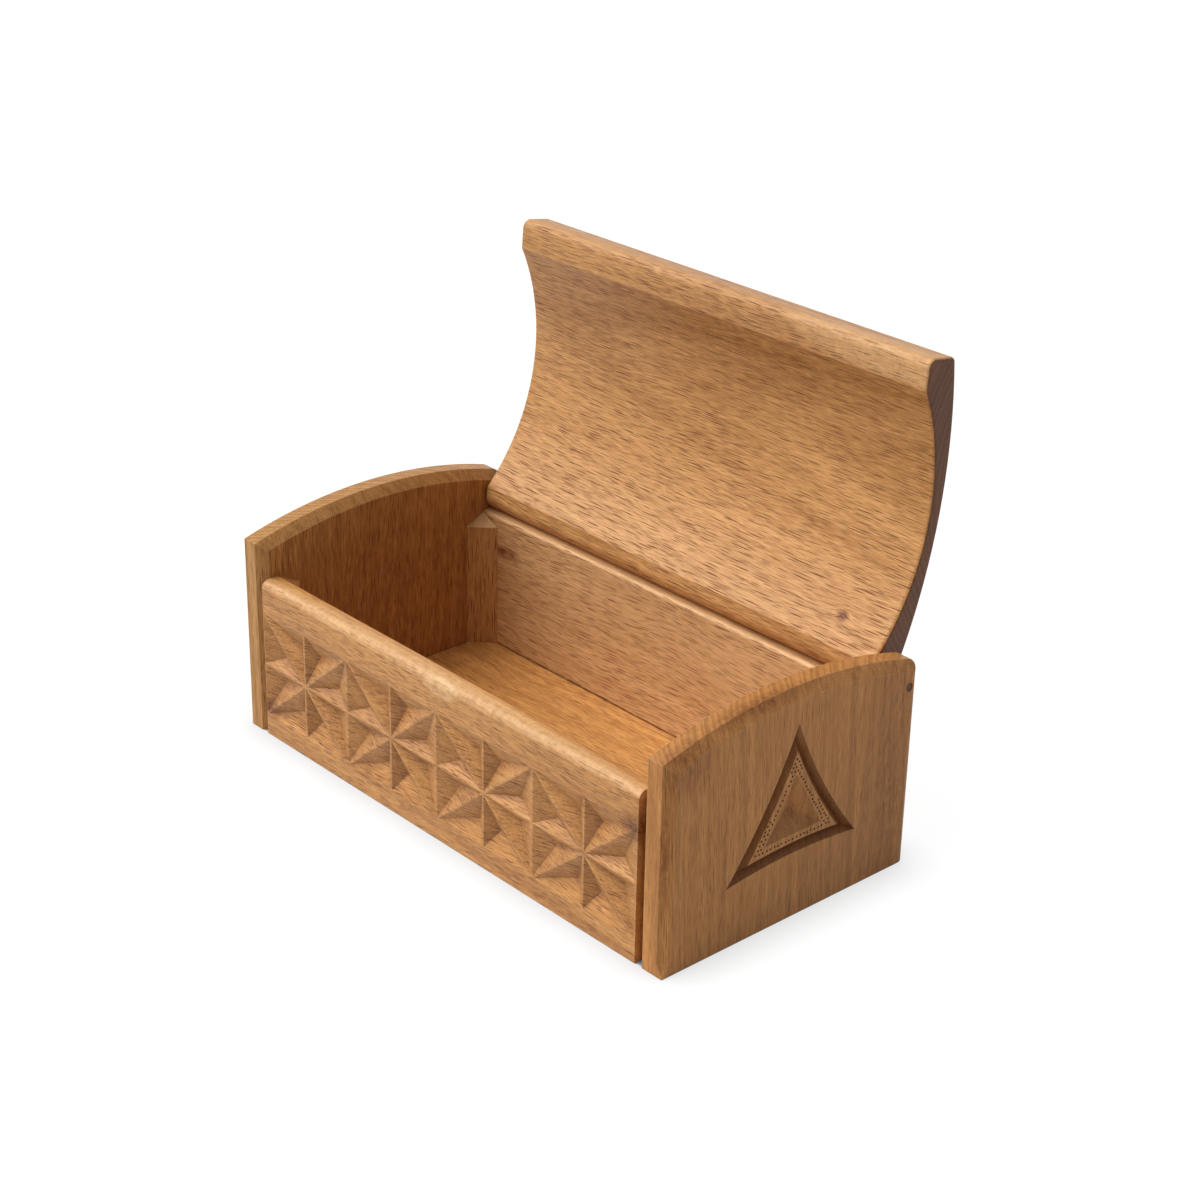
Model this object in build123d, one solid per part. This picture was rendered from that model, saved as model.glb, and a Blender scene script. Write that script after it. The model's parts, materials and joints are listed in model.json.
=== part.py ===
from build123d import *
import math
import os

# Dice box with a hinged lid, in solid beech. Sizes are in millimetres.
# X runs along the box, -Y is the front and +Z is up.
# The origin is the centre of the underside. The lid stands open, at its stop.

# ---- driving dimensions: the case ---------------------------------------
box_length = 180.0          # over the end panels
box_depth = 90.4            # front face to rear face
end_board = 10.0            # both end panels
board = 6.4                 # front, back and base
back_inset = 1.8            # the back panel stands in from the end panels' rear edges
wall_height = 49.3          # front and back panels
crown_rise = 17.3           # end panels at mid depth, above the walls
crown_radius = 156.6        # arc along the top of the end panels

outer_chamfer = 2.1         # end panels, outer face: off the front and top edges
outer_chamfer_face = 3.2    # and off the face itself
inner_chamfer = 2.8         # end panels, arrises of the inner face
rear_round = 2.8            # end panels, rear arris of the outer face
rear_foot_round = 2.2       # end panels, lower rear corner
foot_stop = 4.0             # right panel, height in which its outer front chamfer runs out
crown_corner_round = 2.4    # end panels, rear end of the top arc
front_round = 2.4           # front panel, top front arris
lip_round = 1.1             # front and back panels, top inner arrises
rear_arris = 0.3            # back panel, top rear arris: the lid's stop

block_leg = 6.8             # corner glue blocks, along each wall
block_shoulder_drop = 3.8   # a block's two front corners, below the walls
block_peak_drop = 0.5       # a block's corner peak, below the walls

# ---- driving dimensions: the lid and its hinge --------------------------
lid_reveal = 0.4            # the end panels stand this far proud of the lid
lid_front_inset = 0.8       # lid's front face, behind the front panel's
lid_nose_seat = 8.8         # under the lid, from its front face to the hollow
lid_seat_fall = 0.8         # the nose's seat slopes down this far to the front
lid_heel_seat = 6.6         # flat under the lid, from its rear face to the hollow
lid_hollow = 12.0           # top of the hollow, above the heel's seat
lid_nose_round = 2.6        # front lower arris
lid_brow_round = 1.6        # front and rear upper arrises
lid_inner_round = 0.6       # where the hollow meets its two seats
lid_end_round = 0.9         # arrises of the two ends

pin_diameter = 2.5
pin_in_lid = 12.0           # length of pin inside the lid
pin_recess = 0.2            # pin's head, below the end panel's face
pin_from_rear = 3.7         # pin's axis to the lid's rear face
heel_rise = 0.63            # pin's height above the walls, past pin_from_rear

# ---- clearances ---------------------------------------------------------
lid_end_gap = 0.3           # lid to each end panel
lid_seat_gap = 0.3          # lid to the walls under it, closed
stop_gap = 0.3              # lid's rear face to its stop, open
pin_running = 0.05          # pin in the lid's bore, on the radius
bore_end_gap = 0.6          # past the pin's end

# ---- driving dimensions: the carved stars on the front ------------------
star_count = 4
star_foot = 6.4             # lower edge of the carved band
star_height = 33.1
star_depth = 2.7            # deepest point of each chip
ridge_width = 0.5           # flat left between two chips
pit_along = 0.63            # a pit's place, in shares of the star's half sizes
pit_across = 0.22

# ---- driving dimensions: the carved triangle on the end panels ----------
motif_width = 47.6          # over its two lower points
motif_height = 39.4
motif_foot = 17.6           # lower points above the underside
motif_bow = 1.7             # how far each side bends inwards
groove_width = 3.3          # V-groove just inside the outline
groove_depth = 2.0
centre_width = 20.8         # triangular pit in the middle
centre_height = 17.6
centre_foot = 25.0
centre_depth = 3.4

# ---- worked out from the values above -----------------------------------
half_length = box_length / 2
half_depth = box_depth / 2
inner_x = half_length - end_board
front_inner_y = board - half_depth
back_outer_y = half_depth - back_inset
back_inner_y = back_outer_y - board
crown_height = wall_height + crown_rise
arc_centre_z = crown_height - crown_radius
shoulder_height = arc_centre_z + math.sqrt(crown_radius**2 - half_depth**2)

pin_y = half_depth - pin_from_rear
pin_above_walls = pin_from_rear + heel_rise
pin_z = wall_height + pin_above_walls
lid_half_length = inner_x - lid_end_gap
lid_under_z = wall_height + lid_seat_gap
lid_radius = crown_radius - lid_reveal


def lid_top(y):
    """Height of the closed lid's arched top."""
    return arc_centre_z + math.sqrt(lid_radius**2 - y**2)


def open_angle():
    """Angle at which the lid's rear face reaches the back panel's top rear arris."""
    across = pin_from_rear - back_inset - rear_arris
    reach = math.hypot(across, pin_above_walls)
    standoff = pin_from_rear + stop_gap
    return math.degrees(math.atan2(pin_above_walls, across) + math.acos(standoff / reach))


def edges_at(solid, **where):
    """Straight or curved edges whose whole length lies at the given coordinates."""
    found = []
    for edge in solid.edges():
        box = edge.bounding_box()
        near = [abs(getattr(end, axis) - value) < 0.01
                for axis, value in where.items() for end in (box.min, box.max)]
        if all(near):
            found.append(edge)
    return found


def block_between(low, high):
    """Rectangular block from one corner to the opposite one."""
    size = [b - a for a, b in zip(low, high)]
    return Pos(*low) * Box(*size, align=(Align.MIN, Align.MIN, Align.MIN))


# ---- carving tools ------------------------------------------------------
def chip(corners, pit):
    """Three-facet chip: a pyramid from its corners on the surface down to its pit.

    It is drawn slightly larger about the pit, so that it stands out of the surface
    while its facets stay in their planes."""
    overshoot = 1.02
    pit = Vector(*pit)
    rim = [pit + (Vector(*corner) - pit) * overshoot for corner in corners]
    facets = [Face(Wire.make_polygon(rim))]
    for start, end in zip(rim, rim[1:] + rim[:1]):
        facets.append(Face(Wire.make_polygon([start, end, pit])))
    return Solid(Shell(facets))


def inset(corners, distance):
    """Triangle whose sides lie inside the given one's by a distance."""
    sides = [math.dist(corners[(i + 1) % 3], corners[(i + 2) % 3]) for i in range(3)]
    round_about = sum(sides)
    centre = [sum(s * c[k] for s, c in zip(sides, corners)) / round_about for k in (0, 1)]
    (ax, ay), (bx, by), (cx, cy) = corners
    area = abs((bx - ax) * (cy - ay) - (cx - ax) * (by - ay)) / 2
    share = 1 - distance * round_about / (2 * area)
    return [tuple(m + (c - m) * share for m, c in zip(centre, corner)) for corner in corners]


def star_chips():
    """Eight chips round each star: two in each quarter, either side of its diagonal."""
    half_wide = inner_x / star_count
    half_high = star_height / 2
    middle_z = star_foot + half_high
    chips = []
    for star in range(star_count):
        middle_x = (2 * star + 1 - star_count) * half_wide
        for way_x in (-1, 1):
            for way_z in (-1, 1):
                corner = (way_x * half_wide, way_z * half_high)
                for along_x in (True, False):
                    if along_x:
                        mid, share = (corner[0], 0), (pit_along, pit_across)
                    else:
                        mid, share = (0, corner[1]), (pit_across, pit_along)
                    rim = [(middle_x + u, -half_depth, middle_z + v)
                           for u, v in inset([(0, 0), mid, corner], ridge_width / 2)]
                    pit = (middle_x + corner[0] * share[0], star_depth - half_depth,
                           middle_z + corner[1] * share[1])
                    chips.append(chip(rim, pit))
    return chips


def motif_outline():
    """Triangle with bowed sides: across the end panel, then up."""
    left = Vector(-motif_width / 2, motif_foot)
    right = Vector(motif_width / 2, motif_foot)
    apex = Vector(0, motif_foot + motif_height)
    middle = (left + right + apex) * (1 / 3)
    sides = []
    for start, end in ((left, right), (right, apex), (apex, left)):
        half_way = (start + end) * 0.5
        bowed = half_way + (middle - half_way).normalized() * motif_bow
        sides.append(ThreePointArc(start, bowed, end))
    return make_face(sides)


def groove_slope(rim, line):
    """Solid below a rim on the right end panel's outer face, down to the groove's line."""
    outside = Plane(origin=(half_length, 0, 0), x_dir=(0, 1, 0), z_dir=(1, 0, 0))
    return loft([outside * rim, outside.offset(-groove_depth) * line], ruled=True)


def add_motif(panel):
    """Carve the triangle: a recess, an island in it with a V-groove round it, and the pit."""
    outline = motif_outline()
    line = offset(outline, amount=-groove_width / 2, kind=Kind.INTERSECTION)
    island = offset(outline, amount=-groove_width, kind=Kind.INTERSECTION)
    return panel - groove_slope(outline, line) + groove_slope(island, line) - centre_pit()


def centre_pit():
    """Triangular three-facet pit in the middle of the motif."""
    rim = [(half_length, -centre_width / 2, centre_foot),
           (half_length, centre_width / 2, centre_foot),
           (half_length, 0, centre_foot + centre_height)]
    pit = (half_length - centre_depth, 0, centre_foot + centre_height / 3)
    return chip(rim, pit)


# ---- the case -----------------------------------------------------------
def pin_line(radius, outer_x, inner_end_x):
    """Cylinder on the hinge's axis, at the right end of the box."""
    length = outer_x - inner_end_x
    turned = Pos(inner_end_x + length / 2, pin_y, pin_z) * Rot(0, 90, 0)
    return turned * Cylinder(radius, length)


def chamfer_stop():
    """Wood left at the foot of the outer front chamfer, where it runs out to the corner."""
    corner = Vector(half_length, -half_depth, 0)
    feet = [corner - Vector(outer_chamfer, 0, 0), corner + Vector(0, outer_chamfer_face, 0)]
    tops = [foot + Vector(0, 0, foot_stop) for foot in feet]
    outlines = [[corner, *feet], [corner, *tops], [feet[0], feet[1], tops[1], tops[0]],
                [corner, feet[0], tops[0]], [corner, feet[1], tops[1]]]
    return Solid(Shell([Face(Wire.make_polygon(outline)) for outline in outlines]))


def rear_foot_waste():
    """What is cut away to round an end panel's lower rear corner."""
    middle_x = half_length - end_board / 2
    corner = Pos(middle_x, half_depth, 0) * Box(2 * end_board, 2 * rear_foot_round,
                                                2 * rear_foot_round)
    bar_at = Pos(middle_x, half_depth - rear_foot_round, rear_foot_round) * Rot(0, 90, 0)
    return corner - bar_at * Cylinder(rear_foot_round, 3 * end_board)


def end_panel():
    """Right end panel, with its arched top, the pin's hole and the carved triangle."""
    start = Plane(origin=(inner_x, 0, 0), x_dir=(0, 1, 0), z_dir=(1, 0, 0))
    with BuildPart() as part:
        with BuildSketch(start):
            with BuildLine():
                Polyline((-half_depth, shoulder_height), (-half_depth, 0),
                         (half_depth, 0), (half_depth, shoulder_height))
                ThreePointArc((half_depth, shoulder_height), (0, crown_height),
                              (-half_depth, shoulder_height))
            make_face()
        extrude(amount=end_board)
    panel = part.part
    outer_face = panel.faces().sort_by(Axis.X)[-1]
    front_and_top = [edge for edge in edges_at(panel, X=half_length)
                     if edge.bounding_box().max.Z > 0.01 and edge.bounding_box().min.Y < 0]
    panel = chamfer(front_and_top, outer_chamfer_face, outer_chamfer, reference=outer_face)
    inner = [edge for edge in edges_at(panel, X=inner_x) if edge.bounding_box().max.Z > 0.01]
    panel = chamfer(inner, inner_chamfer)
    panel = fillet(edges_at(panel, X=half_length, Y=half_depth), rear_round)
    panel = fillet(edges_at(panel, Y=half_depth, Z=shoulder_height), crown_corner_round)
    panel -= pin_line(pin_diameter / 2, half_length + 1, inner_x - 1)
    panel -= rear_foot_waste()
    return add_motif(panel)


def front_panel():
    panel = block_between((-inner_x, -half_depth, 0), (inner_x, front_inner_y, wall_height))
    panel = fillet(edges_at(panel, Y=-half_depth, Z=wall_height), front_round)
    panel = fillet(edges_at(panel, Y=front_inner_y, Z=wall_height), lip_round)
    for tool in star_chips():
        panel -= tool
    return panel


def back_panel():
    panel = block_between((-inner_x, back_inner_y, 0), (inner_x, back_outer_y, wall_height))
    panel = fillet(edges_at(panel, Y=back_inner_y, Z=wall_height), lip_round)
    return chamfer(edges_at(panel, Y=back_outer_y, Z=wall_height), rear_arris)


def corner_block(wall_y, leg_y):
    """Right-hand glue block: a triangular prism with its top sloped up to the corner.

    It stands against the wall whose inner face is at wall_y, and reaches to leg_y."""
    peak_z = wall_height - block_peak_drop
    shoulder_z = wall_height - block_shoulder_drop
    plan = [(inner_x, wall_y), (inner_x - block_leg, wall_y), (inner_x, leg_y)]
    foot = [Vector(*point, board) for point in plan]
    top = [Vector(*point, z) for point, z in zip(plan, (peak_z, shoulder_z, shoulder_z))]
    faces = [Face(Wire.make_polygon(foot)), Face(Wire.make_polygon(top))]
    for i in range(3):
        j = (i + 1) % 3
        faces.append(Face(Wire.make_polygon([foot[i], foot[j], top[j], top[i]])))
    return Solid(Shell(faces))


# ---- the lid ------------------------------------------------------------
def lid_closed():
    """Lid as it lies on the box: arched above, hollow below, with a seat along each wall."""
    front_y = lid_front_inset - half_depth
    nose_y = front_y + lid_nose_seat
    heel_y = half_depth - lid_heel_seat
    nose_z = lid_under_z + lid_seat_fall
    hollow_top = ((nose_y + heel_y) / 2, lid_under_z + lid_hollow)
    heel = pin_from_rear
    start = Plane(origin=(-lid_half_length, 0, 0), x_dir=(0, 1, 0), z_dir=(1, 0, 0))
    with BuildPart() as part:
        with BuildSketch(start):
            with BuildLine():
                Polyline((front_y, lid_top(front_y)), (front_y, lid_under_z), (nose_y, nose_z))
                ThreePointArc((nose_y, nose_z), hollow_top, (heel_y, lid_under_z))
                Line((heel_y, lid_under_z), (half_depth - heel, lid_under_z))
                RadiusArc((half_depth - heel, lid_under_z), (half_depth, lid_under_z + heel),
                          -heel)
                Line((half_depth, lid_under_z + heel), (half_depth, lid_top(half_depth)))
                ThreePointArc((half_depth, lid_top(half_depth)), (0, lid_top(0)),
                              (front_y, lid_top(front_y)))
            make_face()
        extrude(amount=2 * lid_half_length)
    lid = part.part
    lid = fillet(edges_at(lid, Y=front_y, Z=lid_under_z), lid_nose_round)
    lid = fillet(edges_at(lid, Y=front_y, Z=lid_top(front_y))
                 + edges_at(lid, Y=half_depth, Z=lid_top(half_depth)), lid_brow_round)
    lid = fillet(edges_at(lid, Y=nose_y, Z=nose_z)
                 + edges_at(lid, Y=heel_y, Z=lid_under_z), lid_inner_round)
    ends = edges_at(lid, X=-lid_half_length) + edges_at(lid, X=lid_half_length)
    lid = fillet(ends, lid_end_round)
    bore_end = lid_half_length - pin_in_lid - bore_end_gap
    bore = pin_line(pin_diameter / 2 + pin_running, inner_x, bore_end)
    return lid - bore - mirror(bore, about=Plane.YZ)


def opened(piece, angle):
    """Turn a piece of the lid about the hinge, away from the front."""
    hinge = Axis((0, pin_y, pin_z), (1, 0, 0))
    return piece.rotate(hinge, -angle)


# ---- every node, by name ------------------------------------------------
plain_end = end_panel()
right_end = plain_end + chamfer_stop()
rear_block = corner_block(back_inner_y, back_inner_y - block_leg)
front_block = corner_block(front_inner_y, front_inner_y + block_leg)
right_pin = pin_line(pin_diameter / 2, half_length - pin_recess, lid_half_length - pin_in_lid)

nodes = {
    "right_end_panel": right_end,
    "left_end_panel": mirror(plain_end, about=Plane.YZ),
    "front_panel": front_panel(),
    "back_panel": back_panel(),
    "base_panel": block_between((-inner_x, front_inner_y, 0), (inner_x, back_inner_y, board)),
    "corner_block_rear_right": rear_block,
    "corner_block_rear_left": mirror(rear_block, about=Plane.YZ),
    "corner_block_front_right": front_block,
    "corner_block_front_left": mirror(front_block, about=Plane.YZ),
    "hinge_pin_right": right_pin,
    "hinge_pin_left": mirror(right_pin, about=Plane.YZ),
    "lid": opened(lid_closed(), open_angle()),
}

os.makedirs("parts", exist_ok=True)
for name, solid in nodes.items():
    export_step(solid, f"parts/{name}.step")

print(f"lid opens {open_angle():.2f} degrees about Y {pin_y:.2f}, Z {pin_z:.2f}")
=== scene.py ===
# %% [markdown]
# # A dice box in oiled beech
#
# This lesson dresses a small wooden box with a lid that leans back on two hidden pins. The box
# is loaded as a frame of finished solids, and everything here adds what a solid lacks: the
# grain of each board, its flecks, its pores, its worn arrises, and the light to see them by.

# %% Load the frame
import json
import math
import random

import bmesh
import bpy
from mathutils import Matrix, Vector
from mathutils.bvhtree import BVHTree


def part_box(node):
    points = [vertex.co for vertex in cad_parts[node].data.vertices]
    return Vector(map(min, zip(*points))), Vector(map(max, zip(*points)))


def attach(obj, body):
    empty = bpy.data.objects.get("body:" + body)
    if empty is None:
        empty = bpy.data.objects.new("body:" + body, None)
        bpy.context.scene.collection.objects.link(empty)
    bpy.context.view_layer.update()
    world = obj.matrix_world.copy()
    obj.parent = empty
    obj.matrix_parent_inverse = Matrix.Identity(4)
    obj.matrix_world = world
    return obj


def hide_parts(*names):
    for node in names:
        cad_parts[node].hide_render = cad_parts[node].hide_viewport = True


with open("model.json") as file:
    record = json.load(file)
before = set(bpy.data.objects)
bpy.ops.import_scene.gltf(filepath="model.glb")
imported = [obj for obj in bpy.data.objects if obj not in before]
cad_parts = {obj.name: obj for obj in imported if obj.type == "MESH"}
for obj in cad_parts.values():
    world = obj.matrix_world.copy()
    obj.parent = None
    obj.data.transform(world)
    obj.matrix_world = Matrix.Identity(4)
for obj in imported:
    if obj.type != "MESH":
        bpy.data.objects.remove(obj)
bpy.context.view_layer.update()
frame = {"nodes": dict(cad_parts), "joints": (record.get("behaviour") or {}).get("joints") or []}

nodes = frame["nodes"]
hinge = frame["joints"][0]

# %% [markdown]
# ## The camera
#
# The box is seen from its front right, from above. A long lens keeps its edges nearly
# parallel, as in product pictures. The camera could be aimed with a constraint, but writing
# its three directions as the rows of a rotation matrix keeps it exact and easy to read.

# %% Camera
CAMERA_PLACE = (0.45815, -0.40361, 0.34443)
CAMERA_ANGLES = (47.688, 25.066, 1.157)     # azimuth, elevation and roll, in degrees
LENS = 73.58                                # focal length, in millimetres
SENSOR = 36.0                               # width of the sensor, in millimetres


def look_from(azimuth, elevation, roll):
    """Right, up and backward directions of a camera, from its angles in degrees."""
    a, e, tilt = (math.radians(angle) for angle in (azimuth, elevation, roll))
    back = Vector((math.sin(a) * math.cos(e), -math.cos(a) * math.cos(e), math.sin(e)))
    right = Vector((0, 0, 1)).cross(back).normalized()
    up = back.cross(right)
    return (right * math.cos(tilt) + up * math.sin(tilt),
            up * math.cos(tilt) - right * math.sin(tilt), back)


camera_data = bpy.data.cameras.new("camera")
camera_data.lens = LENS
camera_data.sensor_width = SENSOR
camera = bpy.data.objects.new("camera", camera_data)
camera.matrix_world = (Matrix.Translation(CAMERA_PLACE)
                       @ Matrix(look_from(*CAMERA_ANGLES)).transposed().to_4x4())
bpy.context.scene.collection.objects.link(camera)
bpy.context.scene.camera = camera
print("camera", [round(c, 3) for c in camera.location])

# %% [markdown]
# ## Shader arithmetic
#
# A procedural material is mostly arithmetic on numbers that vary from place to place. Blender
# does it with Math nodes, which are slow to read as a picture and slower as a list of links.
# So one small class wraps a socket: writing `a * b + 1` then adds the nodes. Vectors get
# Vector Math nodes, plain numbers stay in Python, and every other node comes from `node`.

# %% A socket that can be added up
def is_vector(value):
    return isinstance(value, tuple) or isinstance(value, Wire) and value.socket.type == "VECTOR"


class Wire:
    """A shader socket on which Python's operators add nodes."""

    def __init__(self, recipe, socket):
        self.recipe, self.socket = recipe, socket

    def maths(self, operation, *values):
        kind = "ShaderNodeVectorMath" if any(map(is_vector, values)) else "ShaderNodeMath"
        return self.recipe.node(kind, {"operation": operation}, dict(enumerate(values)))

    def __add__(self, other):
        return self.maths("ADD", self, other)

    def __sub__(self, other):
        return self.maths("SUBTRACT", self, other)

    def __rsub__(self, other):
        return self.maths("SUBTRACT", other, self)

    def __mul__(self, other):
        return self.maths("MULTIPLY", self, other)

    def __truediv__(self, other):
        return self.maths("DIVIDE", self, other)

    def __pow__(self, other):
        return self.maths("POWER", self, other)

    __radd__, __rmul__ = __add__, __mul__

    def output(self, name):
        """Another output of the node that this one comes from."""
        return Wire(self.recipe, self.socket.node.outputs[name])

    def sine(self):
        return self.maths("SINE", self)

    def clipped(self):
        """The number, held between 0 and 1."""
        return self.recipe.node("ShaderNodeClamp", {}, {"Value": self})


# %% A material as a recipe
class Recipe:
    """A material or world under way: node() adds one node and gives back an output of it."""

    def __init__(self, owner, shader="Principled BSDF"):
        owner.use_nodes = True
        self.owner, self.tree = owner, owner.node_tree
        self.shader = self.tree.nodes[shader]

    def node(self, kind, settings, inputs, out=0):
        made = self.tree.nodes.new(kind)
        for key, value in settings.items():
            if key == "stops":
                self.set_stops(made.color_ramp.elements, value)
            else:
                setattr(made, key, value)
        for key, value in inputs.items():
            self.feed(made.inputs[key], value)
        return Wire(self, made.outputs[out])

    @staticmethod
    def set_stops(elements, stops):
        while len(elements) < len(stops):
            elements.new(1.0)
        for element, (place, colour) in zip(elements, stops):
            element.position, element.color = place, (*colour, 1.0)

    def feed(self, socket, value):
        """Link a Wire to a socket, or set the socket's own number, vector or colour."""
        if isinstance(value, Wire):
            self.tree.links.new(value.socket, socket)
        elif socket.type == "RGBA":
            socket.default_value = (*value, 1.0)
        elif socket.type == "VECTOR" and not isinstance(value, tuple):
            socket.default_value = (value,) * 3
        else:
            socket.default_value = value

    def mix(self, factor, first, second, blend="MIX"):
        """Two colours mixed by a factor."""
        return self.node("ShaderNodeMix", {"data_type": "RGBA", "blend_type": blend},
                         {0: factor, 6: first, 7: second}, out=2)

    def white_rays(self):
        """1 for the camera's, glossy and see-through rays, 0 for those that light the box."""
        camera_ray = self.node("ShaderNodeLightPath", {}, {}, out="Is Camera Ray")
        return (camera_ray + camera_ray.output("Is Glossy Ray")
                + camera_ray.output("Is Transmission Ray")).clipped()

    def finish(self, **sockets):
        """Feed the shader's sockets, written with _ for a space."""
        for key, value in sockets.items():
            self.feed(self.shader.inputs[key.replace("_", " ")], value)
        return self.owner


# %% [markdown]
# ## The floor
#
# The box stands on a plain white sweep. More light would be the simplest way to a white floor,
# but then every colour on the box would wash out. So the floor glows by itself, and only for
# the rays that look at it. It stays plain grey for the light that it throws back at the box.
#
# A glowing floor shows no shadow, so the shadow is drawn. Ambient occlusion tells how much of
# the sky a point of the floor sees. Close to the box it sees less, and the glow drops. In a
# narrow gap under the box it sees almost none, and the glow drops to almost nothing.

# %% Floor
FLOOR_HALF = 6.0
FLOOR_DROP = 0.0001           # keeps the floor clear of the box's underside
SHADOW_REACH = 0.013          # width of the shadow round the box
SHADOW_TONE = 0.50            # glow where the floor sees no sky
OPEN_SKY_TONE = 0.46          # and what the open sky adds to it
GAP_SKY = 0.32                # a point that sees less sky than this lies in a gap
GAP_EDGE = 8.0                # how suddenly a gap begins
GAP_DEPTH = 0.5
SKY_SAMPLES = 24              # fewer leave specks along the box's lower edges
FLOOR_GREY = (0.68, 0.68, 0.68)
GLOW_GREY = (0.11, 0.11, 0.11)


def plane(name, half):
    mesh = bpy.data.meshes.new(name)
    corners = [(-half, -half, 0), (half, -half, 0), (half, half, 0), (-half, half, 0)]
    mesh.from_pydata(corners, [], [(0, 1, 2, 3)])
    thing = bpy.data.objects.new(name, mesh)
    bpy.context.scene.collection.objects.link(thing)
    return thing


floor = plane("floor", FLOOR_HALF)
floor.location.z = -FLOOR_DROP
sweep = Recipe(bpy.data.materials.new("white sweep"))
looking = sweep.white_rays()
sky = sweep.node("ShaderNodeAmbientOcclusion", {"samples": SKY_SAMPLES},
                 {"Distance": SHADOW_REACH}, out="AO")
in_a_gap = 1.0 - ((sky - GAP_SKY) * GAP_EDGE).clipped()
glow = looking * (SHADOW_TONE + sky * OPEN_SKY_TONE - in_a_gap * GAP_DEPTH).clipped()
floor.data.materials.append(sweep.finish(
    Base_Color=sweep.mix(looking, FLOOR_GREY, GLOW_GREY), Roughness=0.9,
    Specular_IOR_Level=0.0, Emission_Color=sweep.mix(glow, (0, 0, 0), (1, 1, 1)),
    Emission_Strength=1.0))
print("floor", FLOOR_HALF * 2, "m wide")

# %% [markdown]
# ## The light
#
# One broad lamp high on the box's left does most of the work, and a weak one on its right
# lifts the shaded end. Area lamps would fall off across the box. Sun lamps with a wide angle
# don't, and give the same soft shadows. An even white world fills the rest, weak enough that
# a colour renders about as it is written.

# %% Lamps and world
ROOM_LIGHT = 0.16             # how strongly the white room lights the box


def lamp(name, towards, energy, width, colour):
    """A far lamp in the direction that it lies, with its width in degrees."""
    data = bpy.data.lights.new(name, "SUN")
    data.energy, data.angle, data.color = energy, math.radians(width), colour
    thing = bpy.data.objects.new(name, data)
    thing.rotation_mode = "QUATERNION"
    thing.rotation_quaternion = Vector(towards).to_track_quat("Z", "Y")
    bpy.context.scene.collection.objects.link(thing)
    print(name, "strength", energy)


lamp("broad lamp", towards=(-0.44, -0.45, 0.78), energy=3.5, width=62, colour=(1.0, 0.99, 0.97))
lamp("weak lamp", towards=(0.85, 0.35, 0.25), energy=0.5, width=60, colour=(1.0, 1.0, 1.0))

room = Recipe(bpy.data.worlds.new("white room"), "Background")
bpy.context.scene.world = room.finish(
    Color=(1, 1, 1), Strength=room.white_rays() * (1 - ROOM_LIGHT) + ROOM_LIGHT)
bpy.context.scene.view_settings.view_transform = "Standard"

# %% [markdown]
# ## Beech as a solid
#
# Wood is not a printed sheet: the same rings and rays run through the whole board and come
# out differently on its face, its edge and its end. An unwrapped pattern could be drawn for
# each face, but they would never meet at the arrises. So the pattern fills space. Each board
# says which way its grain runs, and the shape cuts through the pattern. All lengths are in
# millimetres.
#
# A board has three directions of its own: u along its fibres, v across its wide face, and w
# through its thickness. Every step below is written in them, so one recipe serves boards that
# stand, lie or lean.

# %% A board's own directions
MM = 1000.0                   # in a metre


class Board(Recipe):
    """A finish for one board, with u, v and w in millimetres along its own directions."""

    def __init__(self, name, grain, face, depth, turned):
        super().__init__(bpy.data.materials.new(name))
        place = self.node("ShaderNodeTexCoord", {}, {}, out="Object")
        facing = place.output("Normal")
        place = place * (MM, MM, MM)
        if turned:
            pivot, angle = turned
            place = self.turn(place, pivot, angle)
            facing = self.turn(facing, (0, 0, 0), angle)
        self.u, self.v, self.w = (self.dot(way, place) for way in (grain, face, depth))
        self.here = self.point(self.u, self.v, self.w)
        end_on, wide_on = self.dot(grain, facing), self.dot(depth, facing)
        self.end_on = end_on * end_on             # 1 on end grain, 0 where fibres lie flat
        self.wide_on = wide_on * wide_on          # 1 on the wide faces

    def turn(self, vector, pivot, angle):
        return self.node("ShaderNodeVectorRotate", {"rotation_type": "X_AXIS"},
                         {"Vector": vector, "Center": pivot, "Angle": angle})

    def dot(self, first, second):
        return self.node("ShaderNodeVectorMath", {"operation": "DOT_PRODUCT"},
                         {0: first, 1: second}, out="Value")

    def length(self, vector):
        return self.node("ShaderNodeVectorMath", {"operation": "LENGTH"}, {0: vector},
                         out="Value")

    def point(self, *parts):
        return self.node("ShaderNodeCombineXYZ", {}, dict(enumerate(parts)))

    def inside(self, centre, radii):
        """1 at the centre of an ellipsoid, 0 at its surface and outside."""
        away = (self.here - centre) * tuple(1 / r for r in radii)
        return (1.0 - self.length(away)).clipped()

    def noise(self, lumps, shift=(0, 0, 0), detail=1.0, roughness=0.5):
        """Smooth random numbers from 0 to 1, in lumps of these lengths along u, v and w."""
        place = self.point(self.u, self.v, self.w) / lumps + shift
        return self.node("ShaderNodeTexNoise", {"noise_dimensions": "3D"},
                         {"Vector": place, "Scale": 1.0, "Detail": detail,
                          "Roughness": roughness})


# %% [markdown]
# ## Grain that isn't ruled
#
# Fibres are never quite straight. They drift over a board's length, ripple from one fleck to
# the next, and flow round a knot. Each line could be drawn as a curve of its own. It is simpler
# to bend the ruler: v is moved a little from place to place, before anything is drawn with it,
# and then rings, streaks and flecks all bend together.

# %% Bending the grain
DRIFT_LUMPS = (60, 22, 30)
RIPPLE_LUMPS = (7, 6, 6)
RIPPLE = 0.3                  # millimetres that a ripple moves the fibres by


def bend_grain(wood, shift, drift, knots):
    """Move v, and with it all that is drawn later. knots are (centre, radii, push)."""
    wander = wood.noise(DRIFT_LUMPS, shift)
    ripple = wood.noise(RIPPLE_LUMPS, (shift[1], 0, 0))
    wood.v = wood.v + (wander - 0.5) * drift + (ripple - 0.5) * RIPPLE
    for centre, radii, push in knots:
        near = wood.inside(centre, radii)
        wood.v = wood.v + near * near * push


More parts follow.
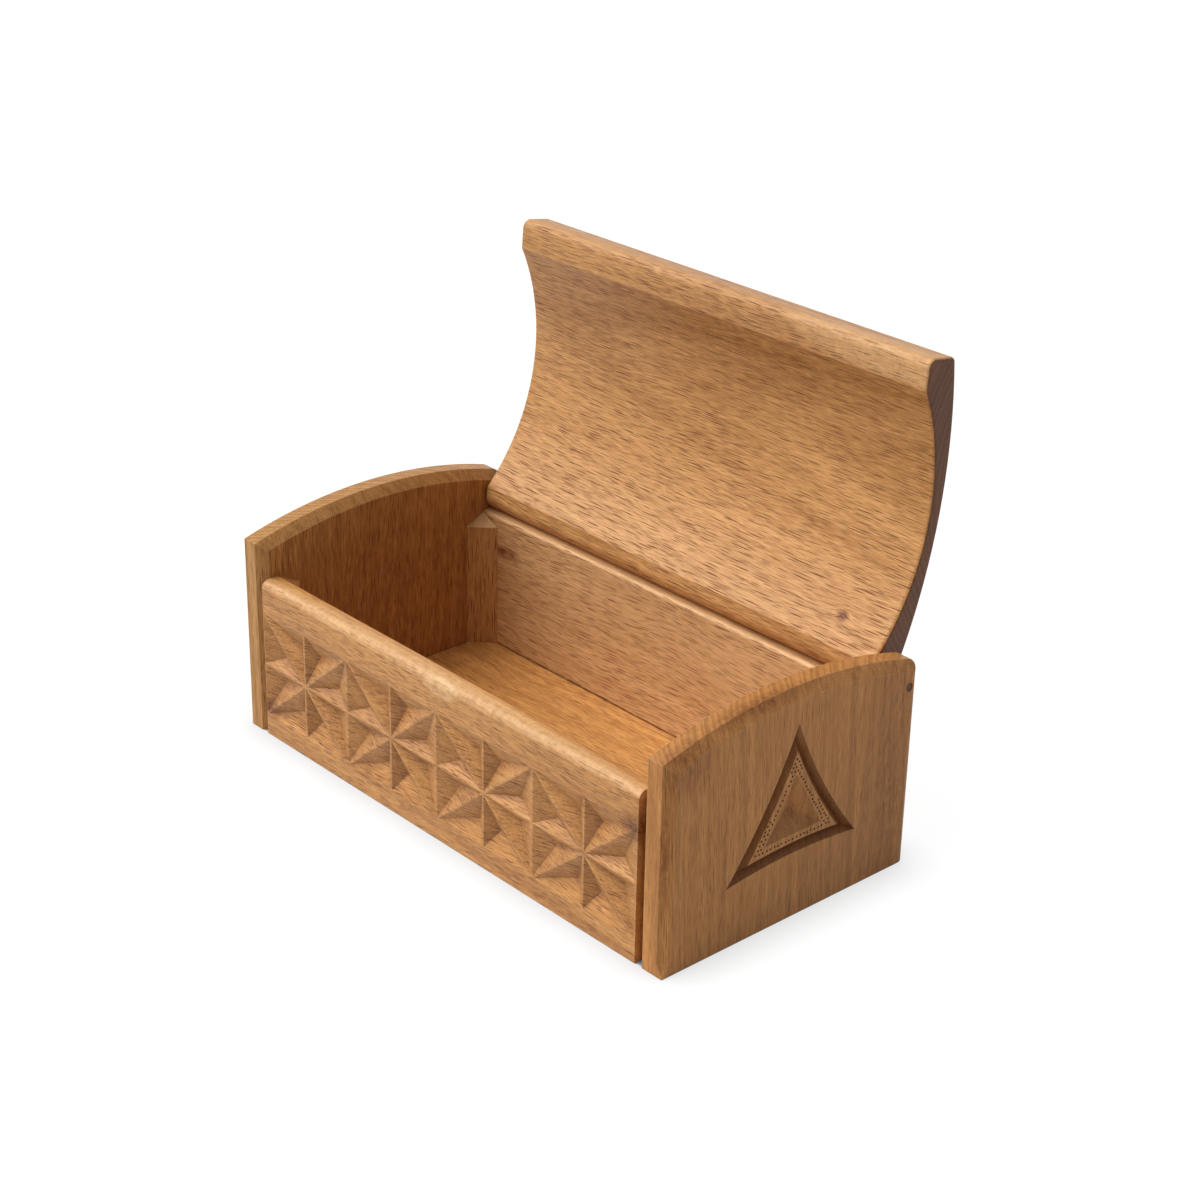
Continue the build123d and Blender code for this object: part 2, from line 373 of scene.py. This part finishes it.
# %% [markdown]
# ## Rings, streaks and fibres
#
# Growth rings are soft bands round the heart of the log. Where a board lay in its log is
# told by where that heart is: far off for nearly straight lines, close by for arches. A sine
# would make the bands as regular as a comb, so one-dimensional noise along the radius makes
# them wide and narrow by chance. Streaks are bundles of fibres in one shade, and the fibres
# themselves are noise drawn out to hairs. Together they choose between the board's dark and
# light wood. End grain shows its rings more sharply, and there a sine is right.

# %% The tone of the wood
LEAN = 0.05                   # how fast the heart of the log sinks under a board
STREAK_LUMPS = (60, 2.2, 2.2)
FIBRE_LUMPS = (5.0, 0.3, 0.3)
FIBRE_DEPTH = 1.65            # how far fibres move the tone, beside rings and streaks
END_RING = 1.65               # millimetres from ring to ring on end grain
END_RING_WAVER = 9.0          # radians by which chance moves those rings


def ring_bands(wood, heart, ring, slope, seed):
    """Distance from the log's heart, and bands that follow it. heart is its v and w."""
    across = wood.v + wood.u * slope - heart[0]
    deep = wood.w - heart[1] + wood.u * LEAN
    radius = (across * across + deep * deep) ** 0.5
    bands = wood.node("ShaderNodeTexNoise", {"noise_dimensions": "1D"},
                      {"W": radius / ring + seed, "Scale": 1.0, "Detail": 2.0,
                       "Roughness": 0.6})
    return radius, bands


def end_face(wood):
    """1 where the shape cuts across the fibres, 0 along them."""
    return ((wood.end_on - 0.4) / 0.4).clipped()


def wood_tone(wood, radius, bands, fibres, shift, ring_depth, streak_depth, end_rings):
    """0 for the board's darkest wood, 1 for its lightest."""
    streaks = wood.noise(STREAK_LUMPS, (shift[1], 0, 0), 3.0, 0.6)
    tone = (0.5 + (bands - 0.5) * ring_depth + (streaks - 0.5) * streak_depth
            + (fibres - 0.5) * FIBRE_DEPTH)
    if end_rings:
        turns = radius * (math.tau / END_RING) + bands * END_RING_WAVER
        tone = tone + turns.sine() * end_face(wood) * end_rings
    return tone


# %% [markdown]
# ## Ray flecks
#
# Rays are thin sheets that run from the heart outwards, and a plain-sawn face cuts them into
# short dark dashes. They are what the eye knows beech by. Stretched noise gives blurred
# clouds instead of dashes, so each dash gets a cell of its own. Voronoi texture tells a point
# where its cell's own place is, and the dash is a thin ellipse round that. The cell's random
# colour makes some dashes longer and some darker than others. Two sizes of cell lie over each
# other: bold flecks, and fine ones that fill the room between them.

# %% Ray flecks
DASH_TONE = (0.24, 0.075, 0.035)
BOLD, FINE = 6.2, 4.8         # how thin a dash is, beside the width of its cell
FINE_SIZE = 0.6               # fine cells, beside the bold ones
FINE_STRENGTH = 0.75
RAY_TILT = 0.2                # how far a ray leans from the board's thickness
DASH_EDGE = 2.2               # how suddenly a dash begins


def one_layer(wood, long, wide, thin, seed_u, seed_v):
    """One dash in each cell of a grid on the wide face, long by wide millimetres.

    The cell's red sets how short its dash is, and its green how dark: about a quarter of
    the dashes are too faint to see.
    """
    cells = wood.point(wood.u / long + seed_u, (wood.v + wood.w * RAY_TILT) / wide + seed_v)
    fleck = wood.node("ShaderNodeTexVoronoi", {"voronoi_dimensions": "2D"},
                      {"Vector": cells, "Scale": 1.0, "Randomness": 0.85}, out="Position")
    lot = wood.node("ShaderNodeSeparateColor", {}, {"Color": fleck.output("Color")}, out="Red")
    shortness = lot * 2.0 + 2.2
    darkness = (lot.output("Green") * 1.7 - 0.4).clipped()
    body = 1.0 - wood.length((cells - fleck) * wood.point(shortness, thin))
    return (body.clipped() * DASH_EDGE).clipped() * darkness


def ray_flecks(wood, long, wide, seed):
    """Both layers of dashes, strong on the wide faces and weak on the others."""
    bold = one_layer(wood, long, wide, BOLD, seed, 0.0)
    fine = one_layer(wood, long * FINE_SIZE, wide * FINE_SIZE, FINE, seed + 0.5, 0.5)
    shown = ((wood.wide_on - 0.3) / 0.3).clipped() * 0.75 + 0.25
    return (bold + fine * FINE_STRENGTH).clipped() * shown


# %% [markdown]
# ## Marks on single boards
# Each board has something of its own: a stain, or a band of pale curly wood along an arris.
# Other marks are painted light: painted shade in the lid's hollow and on the left end's inner
# face, and painted highlights along rounded edges.
# Each board has something of its own: a stain, or a band of pale curly wood along an arris.
# Such a mark could be painted on an image, but then it would lie on one face only. Here it is
# an ellipsoid in the wood, with a ragged edge, and it shows on every face that it reaches.

# %% Stains, pale wood, painted shade and painted highlights
# stains, and painted shade where the lid's hollow and the left end's inner face lie in shade
STAIN_AND_SHADE_TONE = (0.34, 0.20, 0.12)
# pale curly wood and rubbed arrises, and painted highlights on rounded edges
PALE_AND_HIGHLIGHT_TONE = (0.84, 0.55, 0.29)
PALE_EDGE = 4.0               # how suddenly pale marks and painted highlights begin, beside a stain
MOTTLE_LUMPS = (3, 1.5, 1.5)  # the ragged edge of a stain
CURL_LUMPS = (1.5, 2.0, 2.0)  # the broken light of curly wood


def add_marks(wood, colour, stains_and_shade, pale_and_highlights, shift):
    """Stains and painted shade, pale places and painted highlights: (centre, radii, amount)."""
    mottle = (wood.noise(MOTTLE_LUMPS, (shift[2], 0, 0), 3.0, 0.6) - 0.5) * 3.0
    curls = (wood.noise(CURL_LUMPS, (0, shift[0], 0), 2.0, 0.6) - 0.5) * 1.9
    for centre, radii, amount in stains_and_shade:
        near = wood.inside(centre, radii) * amount
        colour = wood.mix((near * (1.0 + mottle)).clipped(), colour, STAIN_AND_SHADE_TONE, "MULTIPLY")
    for centre, radii, amount in pale_and_highlights:
        near = (wood.inside(centre, radii) * PALE_EDGE).clipped() * amount
        ragged = (near * (0.75 + curls + mottle * 0.2)).clipped()
        colour = wood.mix(ragged, colour, PALE_AND_HIGHLIGHT_TONE)
    return colour


# %% [markdown]
# ## Oil, painted shade and wear
#
# Oil darkens wood most where it soaks in: on end grain, and on carved facets that cut across
# the fibres. Every slope of a carving may also be darkened by a set amount. Corners and
# recesses get painted shade, and hands rub the arrises pale. The corners could be painted by
# hand. Ambient occlusion finds them, when it is told to look only at the board itself, and the
# Bevel node finds the arrises, because there its rounded normal leaves the true one.

# %% Oil, painted shade and wear
END_TONE = (0.185, 0.088, 0.02)
CUT_TONE = (0.30, 0.19, 0.09)
# painted shade, darkening corners and recesses that see little sky
CORNER_SHADE_TONE = (0.42, 0.30, 0.21)
CARVING_EDGE = 8.0            # how suddenly a carving's oil begins
ARRIS_EDGE = 14               # turns a slight rounding into a clear line
RUBBED = 0.3                  # how pale an arris gets


def darken_carving(wood, colour, centre, radii, slopes, end_grain):
    """Darken the slopes of a carving, and more so those that cut across the fibres."""
    # slopes darkens every slope by a set amount; end_grain darkens facets across the fibres more
    amount = (1.0 - wood.wide_on) * slopes + wood.end_on * (1.0 - wood.end_on) * end_grain
    near = (wood.inside(centre, radii) * CARVING_EDGE).clipped()
    return wood.mix(near * amount, colour, CUT_TONE, "MULTIPLY")


def shade_corners_and_rub_arrises(wood, colour, rounded, corner_shade_depth, reach):
    """Painted shade within reach of a corner, and arrises rubbed pale."""
    true = wood.node("ShaderNodeNewGeometry", {}, {}, out="Normal")
    open_sky = wood.node("ShaderNodeAmbientOcclusion", {"samples": 4, "only_local": True},
                         {"Distance": reach / MM}, out="AO")
    colour = wood.mix(((1.0 - open_sky) * corner_shade_depth).clipped(), colour, CORNER_SHADE_TONE,
                      "MULTIPLY")
    arris = ((1.0 - wood.dot(rounded, true)) * ARRIS_EDGE).clipped()
    in_the_open = ((open_sky - 0.8) / 0.2).clipped()
    return wood.mix(arris * in_the_open * RUBBED, colour, PALE_AND_HIGHLIGHT_TONE)


# %% [markdown]
# ## The whole recipe
#
# The steps come together in the order in which they happen to a real board: it grows, it is
# sawn, it is carved, and it is oiled and handled; painted shade in its corners comes with that
# last step. The flecks and fibres also make the surface slightly uneven. That is a bump and not
# a shape, because it is little more than a tenth of a millimetre deep. The Bevel node feeds
# the bump, so sharp arrises catch a thin line of light.

# %% Beech
ROUGHNESS = 0.42
FIBRE_GLOSS = 0.14            # raised fibres are polished smoother
FLECK_ROUGHNESS = 0.1         # and flecks, which are open pores, stay rougher
PORE_DEPTH = 0.00015          # metres
OIL_IOR = 1.45


def beech(name, grain, face, depth, *, light, dark, heart, shift, ring=3.2, ring_depth=0.64,
          streak_depth=0.72, slope=0.0, drift=5.0, dash=(11.0, 0.76), dash_depth=0.9,
          knots=(), stains_and_shade=(), pale_and_highlights=(), end_depth=0.0, end_rings=0.0, carving=None,
          corner_shade_depth=0.0, reach=3.0, turned=None, soft=0.3, sheen=0.42):
    """Beech for one board, in its own directions grain, face and depth.

    shift is the board's own place in the log, and turned the (pivot, angle) that lays it flat.
    dash is the length and width of the room that one ray fleck takes, and soft the radius at
    which its arrises seem rounded.
    """
    wood = Board(name, grain, face, depth, turned)
    bend_grain(wood, shift, drift, knots)
    fibres = wood.noise(FIBRE_LUMPS, detail=2.0, roughness=0.65)
    radius, bands = ring_bands(wood, heart, ring, slope, shift[0] * 7)
    tone = wood_tone(wood, radius, bands, fibres, shift, ring_depth, streak_depth, end_rings)
    colour = wood.node("ShaderNodeValToRGB", {"stops": ((0.1, dark), (0.9, light))},
                       {"Fac": tone})
    dashes = ray_flecks(wood, *dash, shift[2])
    colour = wood.mix(dashes * dash_depth, colour, DASH_TONE, "MULTIPLY")
    if stains_and_shade or pale_and_highlights:
        colour = add_marks(wood, colour, stains_and_shade, pale_and_highlights, shift)

    rounded = wood.node("ShaderNodeBevel", {"samples": 4}, {"Radius": soft / MM})
    if end_depth:
        colour = wood.mix(end_face(wood) * end_depth, colour, END_TONE, "MULTIPLY")
    if carving:
        colour = darken_carving(wood, colour, **carving)
    if corner_shade_depth:
        colour = shade_corners_and_rub_arrises(wood, colour, rounded, corner_shade_depth, reach)

    normal = wood.node("ShaderNodeBump", {}, {
        "Strength": 0.8, "Distance": PORE_DEPTH, "Height": (fibres - dashes) * 0.6,
        "Normal": rounded})
    return wood.finish(Base_Color=colour,
                       Roughness=(ROUGHNESS + (0.5 - fibres) * FIBRE_GLOSS
                                  + dashes * FLECK_ROUGHNESS),
                       Normal=normal, IOR=OIL_IOR, Specular_IOR_Level=sheen)


def dress(node, material):
    """Give a node of the frame one material."""
    slots = nodes[node].data.materials
    slots.clear()
    slots.append(material)
    print("dressed", node, "in", material.name)

# %% [markdown]
# ## The front panel
#
# The front was planed from a board whose rings run almost along its face, so it shows few
# rings and many short flecks. Chip carving cuts its stars below the surface, and their slopes
# cross the fibres and take more oil; the chips also get painted shade in their deep corners.
# Its top arris is rounded, and there the grain is curly: a pale, broken band with a small curl
# near the middle, which also paints in the highlight that the rounding catches. Two of its
# corners have a dark stain, as wood has close to a knot.

# %% Front panel
X, Y, Z = (1, 0, 0), (0, 1, 0), (0, 0, 1)

dress("front_panel", beech(
    "front beech", X, Z, Y, light=(0.70, 0.35, 0.112), dark=(0.38, 0.155, 0.040),
    heart=(60, 40), shift=(0.3, 0.1, 0.7), dash=(7.5, 0.66), dash_depth=1.0,
    stains_and_shade=(((-78, 9, -45), (9, 4, 8), 0.9),
            ((79, 39, -45), (7, 6, 8), 0.9)),
    # curly pale wood along the top arris, partly a painted highlight on its rounding
    pale_and_highlights=(((0, 48.4, -43.4), (150, 2.2, 3.2), 0.42),
          ((2, 46.8, -44.6), (8, 3.2, 4), 0.5)),
    carving={"centre": (0, 23, -45), "radii": (200, 22, 12), "slopes": 0.0, "end_grain": 1.5},
    corner_shade_depth=1.5, soft=0.18))

# %% [markdown]
# ## The back and the base
#
# These two boards are thin and plain. The back is the palest of the box, with long bold
# flecks, and the base is a stronger orange. Where two boards meet, a thin line of glue and dust
# darkens the joint. It could be a gap in the mesh, but a glued joint has none, so it is a stain
# half a millimetre to each side and as long as the board.

# %% Back and base panels
ALL_ALONG = 900               # a radius that reaches past any board's end

dress("back_panel", beech(
    "back beech", X, Z, Y, light=(0.83, 0.51, 0.25), dark=(0.54, 0.285, 0.11),
    heart=(40, 70), shift=(1.3, 0.6, 0.2), ring=5.0, dash=(11.5, 0.74), dash_depth=1.1,
    stains_and_shade=(((-70, 38.5, 37), (9, 3, 5), 1.1),
            ((0, 6.4, 37), (ALL_ALONG, 0.7, 0.7), 1.0))))

dress("base_panel", beech(
    "base beech", X, Y, Z, light=(0.80, 0.41, 0.133), dark=(0.47, 0.20, 0.048),
    heart=(-20, 50), shift=(2.1, 1.6, 0.4), dash=(10.0, 0.62), dash_depth=1.0,
    stains_and_shade=(((0, 37, 6.4), (ALL_ALONG, 0.6, 0.6), 1.2),
            ((-80, 0, 6.4), (0.7, ALL_ALONG, 0.7), 1.2))))

# %% [markdown]
# ## The end panels
#
# The fibres of the end panels stand upright, so their arched tops are end grain: darker, and
# lined with rings. Their faces lie far from the log's heart, and the rings on them are straight
# and close. The left one is darker, and painted shade darkens its inner face further. Both get
# painted shade in their corners and carved recesses. The right one has calmer wood with
# fainter flecks, and blotches of oil along its front and top. Both were polished less than the
# lid, and their lower sheen shows it.

# %% End panels
dress("left_end_panel", beech(
    "left beech", Z, Y, X, light=(0.60, 0.316, 0.112), dark=(0.32, 0.141, 0.037),
    heart=(95, -170), shift=(3.7, 0.6, 1.4), ring=1.8, dash=(10.0, 0.66), dash_depth=0.8,
    # painted shade on the inner face, which faces away from the lamp inside the box
    stains_and_shade=(((34, 0, -79), (70, 70, 5), 0.35),),
    carving={"centre": (34, 0, -90), "radii": (26, 40, 12), "slopes": 0.6, "end_grain": 1.1},
    end_rings=0.2, corner_shade_depth=1.3, reach=5.0, sheen=0.2))

dress("right_end_panel", beech(
    "right beech", Z, Y, X, light=(0.60, 0.275, 0.088), dark=(0.38, 0.16, 0.045),
    heart=(95, 170), shift=(4.4, 1.1, 1.9), ring=1.8, ring_depth=0.96, streak_depth=1.26,
    dash_depth=0.45,
    stains_and_shade=(((57, -38, 88), (11, 10, 4), 0.8),
            ((66, -16, 88), (4, 26, 4), 0.7),
            ((34, -44.5, 89), (22, 2.2, 3), 0.7),
            ((53.6, 41.5, 90), (2.0, 2.0, 3), 0.6),
            ((30, 37, 90), (90, 14, 3), 0.35)),
    carving={"centre": (34, 0, 90), "radii": (26, 40, 12), "slopes": 0.6, "end_grain": 1.1},
    end_depth=0.12, end_rings=0.3, corner_shade_depth=1.3, reach=5.0, sheen=0.2))

# %% [markdown]
# ## The lid
#
# The lid is one thick board, arched above and hollowed below, so the hollow cuts down through
# its rings. Its u, v and w fit the lid as it lies shut, when it is level like any other board.
# The frame holds it leaning open, so the recipe first turns each point back about the hinge.
# It has a small knot, painted shade across its hollow, and a painted highlight along a
# stretch of its front edge. Its own ends are bare end grain and the darkest wood of the box.

# %% Lid
shut = (tuple(c * MM for c in hinge["pos_m"]), math.radians(hinge["range_deg"][1]))

dress("lid", beech(
    "lid beech", X, Y, Z, light=(0.735, 0.394, 0.151), dark=(0.41, 0.183, 0.052),
    heart=(-25, 115), shift=(5.2, 2.6, 2.4), ring_depth=0.8, slope=-0.12, drift=2.5,
    dash=(12.0, 0.66), dash_depth=1.05,
    knots=(((63, 31, 54), (7, 4, 10), 1.4),),
    stains_and_shade=(((63, 31, 54), (3.0, 1.8, 6), 1.2),
            # the second mark is painted shade across the hollow, where the light falls off
            ((20, -34, 54), (170, 30, 22), 0.3)),
    # painted highlight along a stretch of the front edge, where the lamp's sheen falls
    pale_and_highlights=(((70, -42.5, 50), (46, 7, 5), 0.3),),
    end_depth=0.95, end_rings=0.35, turned=shut, sheen=0.34))
print("lid turned back by", round(math.degrees(shut[1]), 1), "degrees")

# %% [markdown]
# ## Corner blocks and pins
#
# The four glue blocks are offcuts stood on end, and their wide face looks diagonally into the
# box. Three come from different places in the log, and the rear right and front left blocks
# share one. The pins are short steel rods. Polished steel would glint, but a pin driven below
# the surface and oiled over with the wood is dull and brown, so its finish is a plain dark one.

# %% Corner blocks and pins
def unit(*parts):
    return tuple(Vector(parts).normalized())


for side, shift in (("rear_right", 10), ("rear_left", 9), ("front_right", 11),
                    ("front_left", 10)):
    dress("corner_block_" + side, beech(
        side + " block beech", Z, unit(1, 1, 0), unit(1, -1, 0), light=(0.69, 0.39, 0.15),
        dark=(0.43, 0.21, 0.07), heart=(-20, 90), shift=(shift, 0.3, 0.9)))

steel = Recipe(bpy.data.materials.new("dark steel")).finish(
    Base_Color=(0.15, 0.075, 0.04), Roughness=0.6, Specular_IOR_Level=0.2)
for side in ("right", "left"):
    dress("hinge_pin_" + side, steel)

# %% [markdown]
# ## The punched ground
#
# Round the carved triangle's pit the flat ground is roughened with a small round punch, so
# that the smooth facets stand out. A bump texture could fake the dots, but they would vanish
# at the edges and in close views. So each dot is cut: from one place on the ground, a lattice
# of dots spreads until it meets a groove or the pit, which rays on the panel find, and one
# Boolean cuts them all. The panel's own mesh stays as it is, and the punched copy replaces it.

# %% Where the punch lands
DOT_PITCH = 0.00135
DOT_MARGIN = 0.00065          # flat ground needed round a dot
FLAT = 1e-5                   # how far flat ground may lie from the face
GROUND_START = (0.0, 0.0236)  # under the pit: Y and Z
AROUND = [(math.cos(math.radians(a)), math.sin(math.radians(a))) for a in range(0, 360, 60)]
NEIGHBOURS = ((1, 0), (-1, 0), (0, 1), (0, -1), (1, -1), (-1, 1))


def punch_places(panel, outside):
    """Lattice points on the flat ground that surrounds the start, as (Y, Z)."""
    surface = BVHTree.FromPolygons([v.co for v in panel.vertices],
                                   [p.vertices for p in panel.polygons])
    away = math.copysign(1, outside)

    def is_flat(y, z):
        above = Vector((outside + away * 0.01, y, z))
        hit = surface.ray_cast(above, Vector((-away, 0, 0)))[0]
        return abs(hit.x - outside) < FLAT

    found, waiting = {}, [(0, 0)]
    while waiting:
        step = waiting.pop()
        if step in found:
            continue
        y = GROUND_START[0] + (step[0] + step[1] / 2) * DOT_PITCH
        z = GROUND_START[1] + step[1] * DOT_PITCH * math.sqrt(3) / 2
        found[step] = None
        if all(is_flat(y + a * DOT_MARGIN, z + b * DOT_MARGIN) for a, b in AROUND):
            found[step] = (y, z)
            waiting += [(step[0] + a, step[1] + b) for a, b in NEIGHBOURS]
    return [place for step, place in sorted(found.items()) if place]


# %% [markdown]
# A hand doesn't set its punch down in perfect rows, so each dot is shaken a little. The punch
# is tapered: a cone that stands half above the face leaves a round dimple with sloping sides.

# %% The punch
DOT_RADIUS = 0.00034
DOT_DEPTH = 0.00045
DOT_SIDES = 10
DOT_TAPER = 0.65              # how much the radius changes from the face to each end
SHAKE = 0.12                  # in shares of the pitch
SEED = 11


def punch_tool(name, places, outside):
    """One mesh with a tapered cone at each place."""
    cones = bmesh.new()
    hand = random.Random(SEED)
    inwards = Matrix.Rotation(math.radians(math.copysign(90, outside)), 4, "Y")
    for y, z in places:
        shake = [hand.uniform(-SHAKE, SHAKE) * DOT_PITCH for _ in range(2)]
        place = Matrix.Translation((outside, y + shake[0], z + shake[1]))
        bmesh.ops.create_cone(
            cones, cap_ends=True, segments=DOT_SIDES, radius1=DOT_RADIUS * (1 - DOT_TAPER),
            radius2=DOT_RADIUS * (1 + DOT_TAPER), depth=DOT_DEPTH * 2, matrix=place @ inwards)
    mesh = bpy.data.meshes.new(name)
    cones.to_mesh(mesh)
    cones.free()
    return bpy.data.objects.new(name, mesh)


# %% [markdown]
# The Boolean needs closed solids. The frame's meshes have each corner point once per face,
# so they are welded first. They also carry their own shading normals, which no longer fit
# once the mesh is cut, so these are dropped and the sharp edges are marked afresh. The flat
# faces are shaded flat, or the dots would bend the light across them.

# %% Punching the panels
WELD = 1e-6
SHARP_ANGLE = 25              # degrees
LEVEL = 0.999                 # faces whose normals lie nearer than this to X stay flat


def punched(name, node):
    """A copy of an end panel with its ground punched."""
    low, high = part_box(node)
    outside = high.x if high.x > -low.x else low.x
    shape = bmesh.new()
    shape.from_mesh(nodes[node].data)
    bmesh.ops.remove_doubles(shape, verts=shape.verts, dist=WELD)
    mesh = bpy.data.meshes.new(name)
    shape.to_mesh(mesh)
    shape.free()

    places = punch_places(mesh, outside)
    panel = bpy.data.objects.new(name, mesh)
    punch = punch_tool(name + "_punch", places, outside)
    for thing in (punch, panel):
        bpy.context.scene.collection.objects.link(thing)
    cut = panel.modifiers.new("punch", "BOOLEAN")
    cut.object, cut.operation, cut.solver = punch, "DIFFERENCE", "EXACT"
    with_dots = panel.evaluated_get(bpy.context.evaluated_depsgraph_get())
    panel.data = bpy.data.meshes.new_from_object(with_dots)
    panel.modifiers.clear()
    bpy.data.objects.remove(punch)

    panel.data.attributes.remove(panel.data.attributes["custom_normal"])
    panel.data.set_sharp_from_angle(angle=math.radians(SHARP_ANGLE))
    for polygon in panel.data.polygons:
        polygon.use_smooth = abs(polygon.normal.x) < LEVEL
    panel.data.materials.clear()
    panel.data.materials.append(nodes[node].data.materials[0])
    print(name, "dots", len(places), "faces", len(panel.data.polygons))
    return panel


for side in ("right", "left"):
    piece = punched(side + "_end_punched", side + "_end_panel")
    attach(piece, "case")
    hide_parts(side + "_end_panel")
